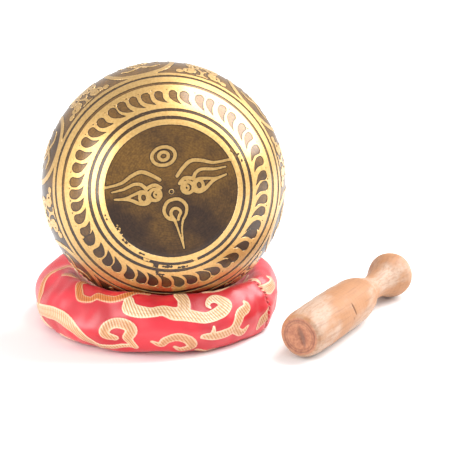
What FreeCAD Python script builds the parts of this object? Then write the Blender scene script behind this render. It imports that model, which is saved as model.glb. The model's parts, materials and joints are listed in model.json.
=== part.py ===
import FreeCAD, Part
import math
import os

from FreeCAD import Vector

# A singing bowl lying on its side on a ring cushion, with its mallet on the floor beside it.
# Millimetres. The origin is the middle of the ring cushion, on the floor; +Z is up and -Y is
# the side that the underside of the bowl faces.

# Bowl. Distances along its axis are counted from the middle of the sphere that its lower
# wall is part of, positive towards the base.
sphere_radius = 63.8
widest_radius = 61.5
blend_radius = 59.0  # where the spherical wall turns into the tighter belly
base_radius = 31.5
base_crown = 0.5  # how far the middle of the base stands out
punch_radius = 1.0
punch_depth = 0.5
rim_drop = 7.0  # the rim lies this far past the middle of the sphere
wall = 2.4
rim_wall = 3.6
rim_band = 7.0  # height of the thickened band at the rim
inner_bevel = 1.5  # between the inside of the wall and the flat floor

# Where the bowl lies: the middle of its sphere, and the direction its base points in.
bowl_centre = Vector(3.4, 0, 71.1)
base_turn = 6.8  # degrees from -Y towards +X
base_rise = 11.9  # degrees above level

# Ring cushion
ring_radius = 46.0  # middle of the tube
tube_radius = 16.3  # upper half of the tube, a half circle
tube_low = 14.0  # height of the widest part of the tube
foot_half_width = 6.3  # half the flat ring that the tube rests on
seat_gap = 0.3  # between the bowl's sphere and the cushion
cover_thickness = 1.0

# Thread
thread_radius = 0.35
thread_lift = 0.03  # keeps a straight stitch off the curved cloth
closing_seam_turn = 65.0  # degrees from -Y towards +X
closing_stitches = 15
closing_from, closing_to = 62.0, -62.0  # degrees round the tube, 0 at its outermost line
closing_length = 3.4
closing_slant = 28.0
inner_stitches = 30
inner_length = 4.6
inner_place = -150.0  # degrees round the tube

# Mallet: it lies level on its barrel and its knob. Radii at distances from the end face.
mallet_start = Vector(71.0, -62.5, 0)
mallet_turn = 31.2  # degrees from +Y towards +X
mallet_radius = 12.0
mallet_axis_height = 12.1  # the outline bulges a little between its points
mallet_face = 8.6
mallet_edge_middle = (0.75, 10.35)  # the rounded edge passes here and ends at mallet_edge
mallet_edge = (2.4, 11.0)
mallet_edge_tangent = Vector(1, 0, 20)
mallet_end_tangent = Vector(-12, 0, 0)
mallet_body = [
    (34, mallet_radius),
    (57, 11.5),
    (64.5, 10.2),
    (71, 7.8),
    (79.5, 6.4),
    (89, 7.8),
    (97, 10.9),
    (103, mallet_radius),
    (110, 9.2),
]
mallet_length = 113.5


def arc(a, b, c):
    return Part.Arc(a, b, c).toShape()


def line(a, b):
    return Part.LineSegment(a, b).toShape()


def revolve(edges, axis=Vector(0, 0, 1)):
    """A solid of revolution about an axis through the origin, from a closed outline."""
    face = Part.Face(Part.Wire(Part.__sortEdges__(edges)))
    solid = face.revolve(Vector(0, 0, 0), axis, 360)
    return solid if solid.Volume > 0 else solid.reversed()


def direction(turn, rise=0.0):
    """Unit vector turned from -Y towards +X, and raised above level."""
    t, r = math.radians(turn), math.radians(rise)
    return Vector(math.sin(t) * math.cos(r), -math.cos(t) * math.cos(r), math.sin(r))


# Bowl outline, in a frame with the middle of the sphere at 0 and the base towards -Z.
belly_sine = blend_radius / sphere_radius
belly_radius = (widest_radius - blend_radius) / (1 - belly_sine)
belly_centre_r = widest_radius - belly_radius
belly_centre_z = -(sphere_radius - belly_radius) * math.sqrt(1 - belly_sine**2)


def sphere_z(r, radius=sphere_radius):
    return -math.sqrt(radius**2 - r**2)


def belly_r(z, inset=0.0):
    rise = z - belly_centre_z
    return belly_centre_r + math.sqrt((belly_radius - inset) ** 2 - rise**2)


def wall_point(r, inset):
    """A point of the spherical wall (given its radius) moved inwards by inset."""
    scale = (sphere_radius - inset) / sphere_radius
    return Vector(r * scale, 0, sphere_z(r) * scale)


def bowl_upright():
    base_z = sphere_z(base_radius)
    middle_r = 0.5 * (base_radius + blend_radius)
    belly_z = 0.5 * (sphere_z(blend_radius) + rim_drop)
    rim_outer = Vector(belly_r(rim_drop), 0, rim_drop)
    rim_inner = Vector(rim_outer.x - rim_wall, 0, rim_drop)
    rim_top = Vector(0.5 * (rim_outer.x + rim_inner.x), 0, rim_drop + 0.5 * rim_wall)
    punch_out = Vector(punch_radius, 0, base_z - base_crown)
    punch_in = Vector(0, 0, punch_out.z + punch_depth)
    outer = [
        line(punch_in, punch_out),
        arc(
            punch_out,
            Vector(0.5 * base_radius, 0, base_z - 0.8 * base_crown),
            Vector(base_radius, 0, base_z),
        ),
        arc(
            Vector(base_radius, 0, base_z),
            Vector(middle_r, 0, sphere_z(middle_r)),
            Vector(blend_radius, 0, sphere_z(blend_radius)),
        ),
        arc(
            Vector(blend_radius, 0, sphere_z(blend_radius)),
            Vector(belly_r(belly_z), 0, belly_z),
            rim_outer,
        ),
        arc(rim_outer, rim_top, rim_inner),
    ]
    floor_z = base_z + wall
    foot = wall_point(base_radius, wall)
    foot_in = Vector(foot.x - inner_bevel, 0, floor_z)
    blend_in = wall_point(blend_radius, wall)
    band_z = rim_drop - rim_band
    band_in = Vector(belly_r(band_z, wall), 0, band_z)
    middle_z = 0.5 * (blend_in.z + band_z)
    inner = [
        line(rim_inner, band_in),
        arc(band_in, Vector(belly_r(middle_z, wall), 0, middle_z), blend_in),
        arc(blend_in, wall_point(middle_r, wall), foot),
        line(foot, foot_in),
        line(foot_in, Vector(0, 0, floor_z)),
        line(Vector(0, 0, floor_z), punch_in),
    ]
    return revolve(outer + inner)


def tip_axis():
    """The level line that the bowl rolls about: turning +angle brings the base down."""
    t = math.radians(base_turn)
    return Vector(math.cos(t), math.sin(t), 0)


def bowl():
    solid = bowl_upright()
    solid.translate(bowl_centre)
    solid.rotate(bowl_centre, tip_axis(), -(90 + base_rise))
    return solid


def ring(inset):
    """The cushion's ring, with every outside face moved in by inset, and the bowl's seat cut."""
    top = tube_radius - inset
    depth = tube_low - inset
    foot = foot_half_width
    outline = [
        arc(
            Vector(ring_radius - top, 0, tube_low),
            Vector(ring_radius, 0, tube_low + top),
            Vector(ring_radius + top, 0, tube_low),
        ),
        line(Vector(ring_radius - foot, 0, inset), Vector(ring_radius + foot, 0, inset)),
    ]
    for side in (-1, 1):
        middle = Vector(ring_radius + side * foot, 0, tube_low)
        across = top - foot
        ellipse = Part.Ellipse(
            Vector(middle.x, 0, middle.z - depth), Vector(middle.x + across, 0, middle.z), middle
        )
        quarter = (0, 0.5 * math.pi) if side > 0 else (1.5 * math.pi, 2 * math.pi)
        outline.append(Part.ArcOfEllipse(ellipse, *quarter).toShape())
    seat = Part.makeSphere(sphere_radius + seat_gap + inset, bowl_centre)
    return revolve(outline).cut(seat)


def tube_point(angle):
    """A point of the tube's outline and its outward direction, in the (radius, height) plane."""
    a = math.radians(angle)
    c, s = math.cos(a), math.sin(a)
    if s >= 0:
        return (ring_radius + tube_radius * c, tube_low + tube_radius * s), (c, s)
    side = 1 if c > 0 else -1
    across = tube_radius - foot_half_width
    point = (ring_radius + side * foot_half_width + across * c, tube_low + tube_low * s)
    normal = Vector(c / across, s / tube_low, 0).normalize()
    return point, (normal.x, normal.y)


def stitch(angle, turn, length, lean):
    """A straight stitch on the cloth; lean is the angle between it and the ring's own line."""
    (r, z), (nr, nz) = tube_point(angle)
    out = direction(turn)
    along = Vector(-out.y, out.x, 0)  # round the ring
    normal = out * nr + Vector(0, 0, nz)
    down = normal.cross(along)
    lean = math.radians(lean)
    run = along * math.cos(lean) + down * math.sin(lean)
    middle = out * r + Vector(0, 0, z) + normal * (thread_radius + thread_lift)
    return Part.makeCylinder(thread_radius, length, middle - run * (0.5 * length), run)


def closing_seam():
    step = (closing_to - closing_from) / (closing_stitches - 1)
    return Part.makeCompound(
        [
            stitch(closing_from + i * step, closing_seam_turn, closing_length, closing_slant)
            for i in range(closing_stitches)
        ]
    )


def inner_seam():
    return Part.makeCompound(
        [
            stitch(inner_place, 360.0 * i / inner_stitches, inner_length, 90)
            for i in range(inner_stitches)
        ]
    )


def mallet():
    points = [Vector(r, 0, s) for s, r in [mallet_edge_middle, mallet_edge] + mallet_body]
    body = Part.BSplineCurve()
    body.interpolate(
        Points=points[1:] + [Vector(0, 0, mallet_length)],
        InitialTangent=mallet_edge_tangent,
        FinalTangent=mallet_end_tangent,
    )
    outline = [
        line(Vector(0, 0, 0), Vector(mallet_face, 0, 0)),
        arc(Vector(mallet_face, 0, 0), points[0], points[1]),
        body.toShape(),
        line(Vector(0, 0, mallet_length), Vector(0, 0, 0)),
    ]
    solid = revolve(outline)
    t = math.radians(mallet_turn)
    axis = Vector(math.sin(t), math.cos(t), 0)
    solid.Placement = FreeCAD.Placement(
        mallet_start + Vector(0, 0, mallet_axis_height),
        FreeCAD.Rotation(Vector(0, 0, 1), axis),
    )
    return solid


cushion_outside = ring(0)
cushion_inside = ring(cover_thickness)
parts = {
    "bowl": bowl(),
    "cushion_cover": cushion_outside.cut(cushion_inside),
    "cushion_filling": cushion_inside,
    "closing_seam_thread": closing_seam(),
    "inner_seam_thread": inner_seam(),
    "mallet": mallet(),
}

os.makedirs("parts", exist_ok=True)
for name, shape in parts.items():
    shape.exportStep(os.path.join("parts", name + ".step"))
    box = shape.BoundBox
    print(
        f"{name}: {len(shape.Solids)} solid(s), valid {shape.isValid()}, {shape.Volume / 1000:.2f} cm3, "
        f"x {box.XMin:.1f}..{box.XMax:.1f} y {box.YMin:.1f}..{box.YMax:.1f} z {box.ZMin:.2f}..{box.ZMax:.1f}"
    )
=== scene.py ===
import json
import math

import bpy
import numpy as np
from mathutils import Matrix, Vector
from mathutils.bvhtree import BVHTree


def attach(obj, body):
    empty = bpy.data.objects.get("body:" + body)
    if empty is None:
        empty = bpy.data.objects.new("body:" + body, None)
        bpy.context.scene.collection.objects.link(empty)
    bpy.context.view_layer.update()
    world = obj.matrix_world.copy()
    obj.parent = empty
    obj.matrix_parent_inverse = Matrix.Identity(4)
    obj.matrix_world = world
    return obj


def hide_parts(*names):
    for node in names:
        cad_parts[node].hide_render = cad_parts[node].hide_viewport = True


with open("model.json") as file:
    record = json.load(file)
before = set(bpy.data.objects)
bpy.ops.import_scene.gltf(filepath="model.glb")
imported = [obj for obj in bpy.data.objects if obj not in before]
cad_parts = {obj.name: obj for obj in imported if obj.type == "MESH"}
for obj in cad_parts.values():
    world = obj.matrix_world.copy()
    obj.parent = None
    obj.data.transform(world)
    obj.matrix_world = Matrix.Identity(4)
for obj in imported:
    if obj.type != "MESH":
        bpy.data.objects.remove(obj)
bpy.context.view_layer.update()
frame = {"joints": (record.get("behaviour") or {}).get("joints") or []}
mm = 0.001

tipJoint = next(j for j in frame["joints"] if j["name"] == "bowl_tip")
bowlMiddle = Vector(tipJoint["pos_m"])
tipAxis = Vector(tipJoint["axis"]).normalized()
tipAngle = math.radians(tipJoint["range_deg"][1])
baseWay = Matrix.Rotation(-tipAngle, 3, tipAxis) @ Vector((0, 0, -1))  # where the base faces
baseUp = baseWay.cross(tipAxis)

stageValues = {
    "cameraDistance": 0.75,
    "cameraRise": 18.0,  # degrees above level
    "lookAt": (0.0356, 0.0, 0.0479),
    "lens": 116.0,
    "floorSize": 6.0,
    "floorColour": (0.92, 0.92, 0.925, 1),
    "worldColour": (1.0, 1.0, 1.0, 1),
    "worldStrength": 0.82,
    "topWatts": 0.6,
    # softboxes seen in the bowl: angle and lean of the lacquer that mirrors them, distance,
    # length, height, watts
    "softboxes": {
        "softRight": (52, 45, 0.95, 1.15, 0.5, 18.0),
        "softLeft": (170, 35, 1.0, 1.2, 0.6, 13.5),
    },
}


def areaLight(name, place, target, width, height, watts):
    data = bpy.data.lights.new(name, "AREA")
    data.shape = "RECTANGLE"
    data.size = width
    data.size_y = height
    data.energy = watts
    light = bpy.data.objects.new(name, data)
    light.location = place
    light.rotation_euler = (Vector(target) - Vector(place)).to_track_quat("-Z", "Y").to_euler()
    bpy.context.collection.objects.link(light)
    return light


def makeStage():
    v = stageValues
    rise = math.radians(v["cameraRise"])
    target = Vector(v["lookAt"])
    data = bpy.data.cameras.new("camera")
    data.lens = v["lens"]
    data.clip_start = 0.01
    camera = bpy.data.objects.new("camera", data)
    camera.location = target + v["cameraDistance"] * Vector((0, -math.cos(rise), math.sin(rise)))
    camera.rotation_euler = (math.pi / 2 - rise, 0, 0)
    bpy.context.collection.objects.link(camera)
    bpy.context.scene.camera = camera

    world = bpy.data.worlds.new("world")
    bpy.context.scene.world = world
    world.use_nodes = True
    background = world.node_tree.nodes["Background"]
    background.inputs["Color"].default_value = v["worldColour"]
    background.inputs["Strength"].default_value = v["worldStrength"]
    bpy.context.scene.view_settings.view_transform = "Standard"

    bpy.ops.mesh.primitive_plane_add(size=v["floorSize"], location=(0, 0, -0.0002))
    floor = bpy.context.object
    floor.name = "floor"
    material, tree, shader = newMaterial("paleFloor")
    values = {"Base Color": v["floorColour"], "Roughness": 0.9, "Specular IOR Level": 0.1}
    fillInputs(tree, shader, values)
    floor.data.materials.append(material)

    areaLight("softTop", (0.1, -0.2, 1.1), (0.02, 0, 0.06), 1.0, 1.0, v["topWatts"])
    for name, (angle, lean, distance, width, height, watts) in v["softboxes"].items():
        a, b = math.radians(angle), math.radians(lean)
        out = math.cos(b) * baseWay + math.sin(b) * (math.cos(a) * tipAxis + math.sin(a) * baseUp)
        place = bowlMiddle + out * bowl["sphere"] * mm
        view = (camera.location - place).normalized()
        mirrored = 2 * out.dot(view) * out - view
        light = areaLight(name, place + distance * mirrored, place, width, height, watts)
        run = (math.cos(a) * baseUp - math.sin(a) * tipAxis).normalized()
        out = (light.location - place).normalized()
        side = (run - out * run.dot(out)).normalized()
        light.rotation_euler = Matrix((side, out.cross(side), out)).transposed().to_euler()


def newObject(name, points, faces, material=None):
    mesh = bpy.data.meshes.new(name)
    mesh.from_pydata([tuple(p) for p in points], [], [tuple(f) for f in faces])
    mesh.update()
    obj = bpy.data.objects.new(name, mesh)
    bpy.context.collection.objects.link(obj)
    mesh.shade_smooth()
    if material:
        mesh.materials.append(material)
    return obj


def newMaterial(name):
    material = bpy.data.materials.new(name)
    material.use_nodes = True
    return material, material.node_tree, material.node_tree.nodes["Principled BSDF"]


def fillInputs(tree, node, inputs):
    # inputs are values or other nodes' outputs
    for name, value in inputs.items():
        if isinstance(value, bpy.types.NodeSocket):
            tree.links.new(value, node.inputs[name])
        else:
            node.inputs[name].default_value = value


def addNode(tree, kind, inputs, **settings):
    # kind is the node's type, where a shader node's may leave out its first word
    made = tree.nodes.new(kind if "Node" in kind else "ShaderNode" + kind)
    for name, value in settings.items():
        setattr(made, name, value)
    fillInputs(tree, made, inputs)
    return made


def attribute(tree, name):
    return addNode(tree, "Attribute", {}, attribute_name=name).outputs["Fac"]


def calculate(tree, operation, *values):
    return addNode(tree, "Math", dict(enumerate(values)), operation=operation).outputs[0]


def times(tree, a, b):
    return calculate(tree, "MULTIPLY", a, b)


def timesPlus(tree, a, b, c):
    return calculate(tree, "MULTIPLY_ADD", a, b, c)


def vectorNode(tree, operation, a, b=(0, 0, 0)):
    return addNode(tree, "VectorMath", {0: a, 1: b}, operation=operation).outputs


def fade(tree, value, low, high, a=0.0, b=1.0):
    # a where value is low, b where it is high, smooth in between
    inputs = {"Value": value, "From Min": low, "From Max": high, "To Min": a, "To Max": b}
    return addNode(tree, "MapRange", inputs, interpolation_type="SMOOTHSTEP").outputs[0]


def mixColour(tree, factor, a, b, blend="MIX"):
    inputs = {0: factor, 6: a, 7: b}
    return addNode(tree, "Mix", inputs, data_type="RGBA", blend_type=blend).outputs[2]


def partMix(tree, mask, part, a, b):
    # a with a part of b where the mask is
    return mixColour(tree, times(tree, mask, part), a, b)


def lineAt(tree, value, middle, full, none):
    # 1 where value is near the middle, fading out between two distances from it
    away = calculate(tree, "ABSOLUTE", calculate(tree, "SUBTRACT", value, middle))
    return fade(tree, away, full, none, 1, 0)


def mixFloat(tree, factor, a, b):
    return addNode(tree, "Mix", {0: factor, 2: a, 3: b}).outputs[0]


def noise(tree, vector, scale, detail=3.0, roughness=0.5, stretch=(1, 1, 1)):
    if stretch != (1, 1, 1):
        vector = addNode(tree, "Mapping", {"Vector": vector, "Scale": stretch}).outputs[0]
    inputs = {"Vector": vector, "Scale": scale, "Detail": detail, "Roughness": roughness}
    return addNode(tree, "TexNoise", inputs).outputs["Fac"]


def objectPoint(tree):
    return addNode(tree, "TexCoord", {}).outputs["Object"]


def bump(tree, height, distance, strength):
    inputs = {"Height": height, "Distance": distance, "Strength": strength}
    return addNode(tree, "Bump", inputs).outputs[0]


def vertexValue(obj, name, values, kind="FLOAT", field="value"):
    layer = obj.data.attributes.new(name, kind, "POINT")
    layer.data.foreach_set(field, np.array(values, np.float32).ravel())


def wrapped(angle, turn=2 * math.pi):
    # the same angle, within half a turn of zero
    return (angle + turn / 2) % turn - turn / 2


def spline(points, steps=8):
    # a smooth line through given points (Catmull-Rom)
    p = np.array(points, float)
    p = np.concatenate([[2 * p[0] - p[1]], p, [2 * p[-1] - p[-2]]])
    out = []
    for a, b, c, d in zip(p, p[1:], p[2:], p[3:]):
        for t in np.arange(steps) / steps:
            out.append(
                0.5 * (2 * b + (c - a) * t + (2 * a - 5 * b + 4 * c - d) * t**2
                       + (3 * b - a - 3 * c + d) * t**3)
            )
    out.append(p[-2])
    return np.array(out)


def strokeField(points, line, widths):
    # signed distance, positive inside a stroke whose half width changes along the line
    best = np.full(len(points), -1e9)
    widths = np.interp(np.linspace(0, 1, len(line)), np.linspace(0, 1, len(widths)), widths)
    for i in range(len(line) - 1):
        a, b = line[i], line[i + 1]
        ab = b - a
        t = np.clip(((points - a) @ ab) / max(ab @ ab, 1e-12), 0, 1)
        gap = np.hypot(*(points - a - t[:, None] * ab).T)
        best = np.maximum(best, widths[i] + (widths[i + 1] - widths[i]) * t - gap)
    return best


def drawInto(field, on, points, line, widths):
    # raises the field to a stroke's, at the marked places
    field[on] = np.maximum(field[on], strokeField(points[on], line, widths))


def ringLine(centre, radiusX, radiusY, steps=28):
    a = np.radians(np.linspace(0, 1, steps + 1) * 360)
    return np.stack([radiusX * np.cos(a), radiusY * np.sin(a)], 1) + np.array(centre)


def spiralLine(centre, outer, inner, start, sweep, steps=30):
    t = np.linspace(0, 1, steps + 1)
    a = np.radians(start + t * sweep)
    r = outer + (inner - outer) * t
    return np.array(centre) + np.stack([r * np.cos(a), r * np.sin(a)], 1)


bowl = {
    "sphere": 63.8,  # all in mm
    "widest": 61.5,
    "blend": 59.0,
    "base": 31.5,
    "crown": 0.5,
    "rimDrop": 7.0,
    "wall": 2.4,
    "rimWall": 3.6,
    "etchDepth": 0.22,
    "bevel": 0.14,
    "rowStep": 1.5,
    "around": 216,
    "baseTurn": 11.0,  # how far the underside's drawing is turned, degrees
    "grooves": [(34.2, 35.7), (37.8, 39.3), (50.2, 51.5), (53.9, 54.8)],  # radii
    "discRing": 31.6,
    "wallStart": 55.9,
    "wallEnd": 5.2,  # back from the edge of the rim
    "rimGroove": (2.9, 0.45),  # the same, and its half width
    "wallRadius": 60.5,
    "leaves": 46,
    "medallions": 6,
    "medallionTurn": 41.0,
    "medallionRadius": 16.8,
    "line": 0.8,  # half width of a drawn line
    "wallLine": 0.68,
    "leafHead": (2.25, 2.6),  # half width where the cell is fattest
    "leafDot": (0.32, 0.5),  # its radius
    "leafDotPlace": (47, 4.1),  # radius on the bowl, and out from the middle of the band
    "punch": (0.5, 0.5, 0.14, 1.15, 0.4),  # depth and size, then height, radius and size of its lip
    "rowStepInside": 3.0,
    # worn places on the rings: radius, degrees, half width across and along, 1 gold or -1 dark
    "chips": [(36.4, 257, 1.1, 1.2, -1), (36.5, 266, 0.8, 2.2, -1), (39.6, 259, 1.3, 0.8, -1),
              (41.0, 262, 0.7, 1.6, -1), (37.0, 277, 0.5, 1.9, -1), (33.0, 243, 0.5, 1.4, -1),
              (35.0, 248, 0.5, 1.2, 1), (34.9, 288, 0.9, 1.0, 1), (31.2, 216, 0.3, 2.2, 1),
              (30.4, 212, 0.3, 1.2, 1), (32.6, 226, 0.4, 1.8, -1), (33.4, 200, 0.25, 1.5, -1),
              (35.9, 27, 0.8, 0.5, -1), (34.4, 32, 0.5, 0.6, -1), (36.8, 22, 0.4, 0.9, -1)],
}


def bowlProfile():
    # distance along the outside from the middle of the base, radius, height, slope
    v = bowl
    arcStart = math.asin(v["base"] / v["sphere"])
    blendAngle = math.asin(v["blend"] / v["sphere"])
    bellyRadius = (v["widest"] - v["blend"]) / (1 - v["blend"] / v["sphere"])
    bellyHeight = (v["sphere"] - bellyRadius) * math.cos(blendAngle)
    rimAngle = math.pi / 2 + math.asin((bellyHeight + v["rimDrop"]) / bellyRadius)
    blendAt = v["base"] + v["sphere"] * (blendAngle - arcStart)
    end = blendAt + bellyRadius * (rimAngle - blendAngle)
    s = np.linspace(0, end, 4001)
    onSphere = arcStart + (s - v["base"]) / v["sphere"]
    slope = np.where(s < v["base"], 2 * v["crown"] / v["base"] * s / v["base"], onSphere)
    slope = np.where(s > blendAt, blendAngle + (s - blendAt) / bellyRadius, slope)
    k = int(round(1.2 / (s[1] - s[0])))  # softens the corner at the base over 1.2 mm each way
    smooth = np.convolve(np.pad(slope, k, mode="edge"), np.ones(2 * k + 1) / (2 * k + 1), "valid")
    slope = np.where(abs(s - v["base"]) < 4, smooth, slope)
    step = np.diff(s)
    middle = 0.5 * (slope[1:] + slope[:-1])
    radius = np.concatenate([[0], np.cumsum(np.cos(middle) * step)])
    height = np.concatenate([[0], -np.cumsum(np.sin(middle) * step)])
    at = np.searchsorted(s, v["base"] + 8)
    angle = arcStart + 8 / v["sphere"]
    radius += (v["sphere"] * math.sin(angle) - radius[at]) * np.minimum(s / v["base"], 1)
    height += v["sphere"] * math.cos(angle) - height[at]
    return s, radius, height, slope


profileS, profileR, profileH, profileSlope = bowlProfile()


def alongAt(radius):
    widestAt = int(np.argmax(profileR))
    return float(np.interp(radius, profileR[:widestAt], profileS[:widestAt]))


def bowlPoints(radius, height, angle):
    # places in the frame from radii, heights and angles about the bowl's axis
    across, up, out = (np.array(w) for w in (tipAxis, baseUp, baseWay))
    level = np.outer(radius * np.cos(angle), across) + np.outer(radius * np.sin(angle), up)
    return np.array(bowlMiddle) + (level + np.outer(height, out)) * mm


def sunk(s, sink):
    # radius and height of the outside, sunk by so many mm
    slope = np.interp(s, profileS, profileSlope)
    radius = np.interp(s, profileS, profileR) - sink * np.sin(slope)
    return radius, np.interp(s, profileS, profileH) - sink * np.cos(slope)


def signField(x, y):
    # gold lines of the underside's drawing; positive on a line
    t = math.radians(bowl["baseTurn"])
    u = x * math.cos(t) + y * math.sin(t)
    v = -x * math.sin(t) + y * math.cos(t)
    lines = [  # drawn on both sides
        (spline([(4.2, 6.6), (7.5, 9.6), (12, 12.2), (17, 11.3), (22.5, 9.0), (30.6, 8.6)]),
         [1, 1.15, 1, 0.7]),
        (spline([(4.6, 2.9), (7.2, 4.8), (10.6, 4.2), (11.4, 3.6)]), [1, 1.1, 1]),
        (spline([(11.4, 3.6), (13.2, 6.2), (16.5, 7.2), (22, 6.0), (27.6, 5.8)]),
         [1, 1, 0.9, 0.5]),
        (ringLine((7.9, 0.2), 2.75, 2.65), [1]),
        (ringLine((7.4, 0.2), 0.95, 1.15), [0.7]),
        (spline([(10.0, -1.4), (12.6, -2.9), (16, -2.2), (20.4, 0.6), (27, 2.2)]),
         [1, 1.15, 1, 0.6]),
        (spline([(10.4, 1.2), (13.4, 3.0), (17, 2.6), (22, 1.6), (27, 2.2)]), [1, 1, 0.8, 0.6]),
        (ringLine((13.5, 0.1), 1.9, 2.3), [0.95]),
    ]
    middleLines = [
        (ringLine((0, 17.2), 5.6, 4.3), [1]),
        (ringLine((0, 17.2), 2.3, 1.9), [1]),
        (spline([(-1.5, -13.6), (-4.6, -11.6), (-5.4, -8.0), (-3.2, -4.6), (0, -3.8), (3.2, -4.6),
                 (5.4, -8.0), (4.6, -11.6), (2.4, -14.6), (0.9, -19), (0, -28)]),
         [1, 1, 1, 1, 0.7, 0.35]),
        (spline([(-1.5, -13.6), (-0.9, -18), (0, -28)]), [1, 0.6, 0.35]),
        (spline([(-1.5, -13.6), (-2.6, -10.4), (-1.2, -8.3), (1.0, -8.5), (2.2, -10.4),
                 (1.0, -12.2), (0.2, -13.8)]), [1, 0.9, 0.8]),
    ]
    best = np.full(len(x), -1e9)
    for side, strokes in ((abs(u), lines), (u, middleLines)):
        points = np.stack([side, v], 1)
        for line, widths in strokes:
            near = np.hypot(*(points - line.mean(0)).T) < np.ptp(line, axis=0).max() + 3
            drawInto(best, near, points, line, bowl["line"] * np.array(widths))
    return best


def leafField(radius, along, angle):
    # dark comma-shaped cells in the gold band; positive on the gold
    v = bowl
    rng = np.random.default_rng(11)
    pitch = 2 * math.pi / v["leaves"]
    dotRadius, dotOut = v["leafDotPlace"]
    low, high = alongAt(v["grooves"][1][1]), alongAt(v["grooves"][2][0])
    best = np.full(len(along), 1e9)
    band = (along > low - 1) & (along < high + 1)
    r, s, a = radius[band], along[band], angle[band]
    field = np.full(len(s), 1e9)
    t = np.linspace(0, 1, 15)[:, None]
    for i in range(v["leaves"]):
        middle = i * pitch + rng.normal(0, 0.012)
        head = rng.uniform(*v["leafHead"]) * (1 - 0.09 * math.sin(middle))
        lift = rng.normal(0, 0.22)
        turn = wrapped(a - middle)
        near = abs(turn) < 2.2 * pitch
        p = np.stack([turn[near] * r[near], s[near] - 0.5 * (low + high)], 1)
        top = np.array([0.2, 1.75 + lift])
        bend = np.array([0.75 + rng.normal(0, 0.15), -2.3])
        tip = np.array([-4.0 + rng.normal(0, 0.3), -5.1 + rng.normal(0, 0.25)])
        line = (1 - t) ** 2 * top + 2 * t * (1 - t) * bend + t**2 * tip
        widths = np.array([head, head * 0.97, head * 0.8, head * 0.58, head * 0.34, 0.14])
        leaf = -strokeField(p, line, widths)
        dot = np.array([0.5 * pitch * dotRadius + rng.normal(0, 0.2), dotOut + rng.normal(0, 0.15)])
        spot = np.hypot(*(p - dot).T) - rng.uniform(*v["leafDot"])
        field[near] = np.minimum(field[near], np.minimum(leaf, spot))
    best[band] = field
    return best


def wallField(radius, along, angle):
    # round medallions with a curl in each, and scrolls between them; positive on the gold
    v = bowl
    w = v["wallLine"]
    low, high = alongAt(v["wallStart"]), profileS[-1] - v["wallEnd"]
    pitch = 2 * math.pi / v["medallions"]
    turn = wrapped(angle - math.radians(v["medallionTurn"]), pitch)
    on = along > low - 3
    x, y = turn[on] * radius[on], along[on] - 0.5 * (low + high)
    p = np.stack([x, y], 1)
    centre = np.hypot(x, y)
    ring = 1.25 - abs(centre - v["medallionRadius"] - 0.15)
    inside = centre < v["medallionRadius"] - 1
    outside = centre > v["medallionRadius"] + 0.3
    # folded into a quarter of the space between two medallions
    q = np.stack([0.5 * pitch * v["wallRadius"] - abs(x), abs(y)], 1)
    scrolls = [
        (spiralLine((4.6, 5.6), 4.0, 0.8, 200, 560), [1.3, 1, 1]),
        (spline([(0, 0), (0.6, 2.6), (1.2, 4.2), (0.9, 5.2)]), [1.4, 1]),
        (spline([(0, 0), (2.4, 0.4), (4.6, 0)]), [1.6, 0.4]),
        (spiralLine((8.4, 12.4), 3.0, 0.7, 250, -500), [1, 1, 1]),
        (spline([(2.4, 9.2), (1.3, 12), (2.4, 15.2), (5.0, 15.9)]), [1, 1, 0.5]),
        (spline([(5.6, 9.4), (4.4, 11.4), (4.9, 13.4)]), [1, 0.5]),
        (spiralLine((13.0, 14.6), 1.6, 0.5, 180, 400, 18), [0.9, 0.9]),
    ]
    curls = [
        (spiralLine((0, 0), 6.2, 1.0, -90, 620, 44), [0.8, 1.5, 1.5, 1]),
        (spline([(0, -6.2), (-5.2, -9.4), (-9.6, -7.4)]), [1.4, 0.6]),
        (spline([(0, -6.2), (4.2, -9.8), (9.2, -8.2)]), [1.4, 0.6]),
        (spline([(-8.6, -1.2), (-9.6, 3.2), (-6.4, 8.4), (-3.0, 9.6)]), [0.6, 1.4, 0.6]),
        (spline([(8.8, -0.8), (9.8, 3.4), (6.6, 8.6), (3.2, 9.8)]), [0.6, 1.4, 0.6]),
    ]
    best = ring.copy()
    everywhere = np.full(len(best), True)
    for mask, points, strokes in ((everywhere, q, scrolls), (inside, p, curls)):
        for line, widths in strokes:
            drawInto(best, mask, points, line, w * np.array(widths))
    field = np.full(len(along), -1e9)
    field[on] = np.where(outside | inside, best, ring)
    shapes = np.where((along > low) & (along < high), field, -1e9)
    field = np.maximum(np.maximum(field, low - along), along - high)
    back, half = v["rimGroove"]
    groove = abs(along - (profileS[-1] - back)) - half
    return np.where(on, np.minimum(field, groove), 1e9), shapes


def wobble(radius, angle):
    # the turned lines aren't quite round
    waves = [(0.16, 1, 0.6), (0.10, 2, 2.1), (0.07, 5, radius), (0.04, 11, 2 * radius)]
    return sum(height * np.sin(count * angle + shift) for height, count, shift in waves)


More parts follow.
